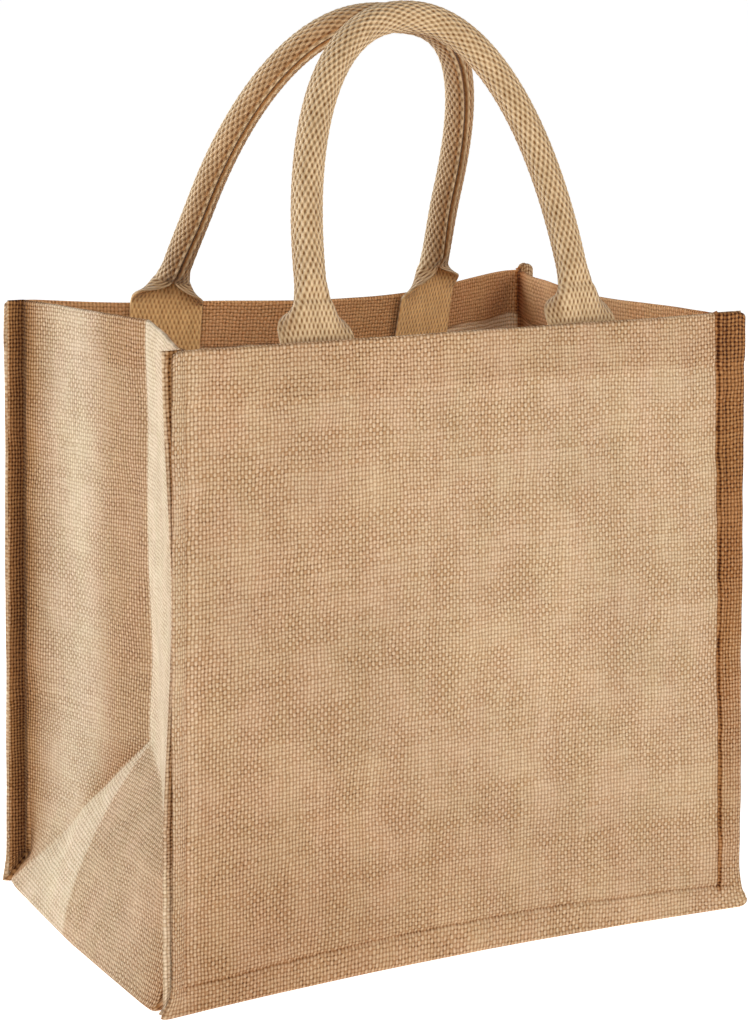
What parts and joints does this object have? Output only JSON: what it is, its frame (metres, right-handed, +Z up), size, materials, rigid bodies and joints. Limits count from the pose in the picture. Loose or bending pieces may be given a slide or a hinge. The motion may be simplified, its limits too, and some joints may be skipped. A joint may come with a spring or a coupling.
{
  "type": "jute tote bag",
  "caption": "Upright square jute shopping tote with a pushed-in gusset, outward seam flanges and padded webbing loop handles.",
  "frame": {"origin": "on the floor, in the middle of the bag", "axes": "+Z up, +X to the right along the front panel, +Y from the front panel to the back panel"},
  "size_m": [0.3197, 0.2064, 0.4454],
  "materials": {
    "jute_panel": "coarse plain-woven natural jute, matt",
    "jute_gusset": "coarse plain-woven natural jute, matt",
    "cotton_webbing": "pebbled tan cotton webbing, matt"
  },
  "bodies": {
    "root": {"front_panel": "jute_panel", "back_panel": "jute_panel", "gusset_strip": "jute_gusset", "handle_front": "cotton_webbing", "handle_back": "cotton_webbing"}
  },
  "joints": []
}
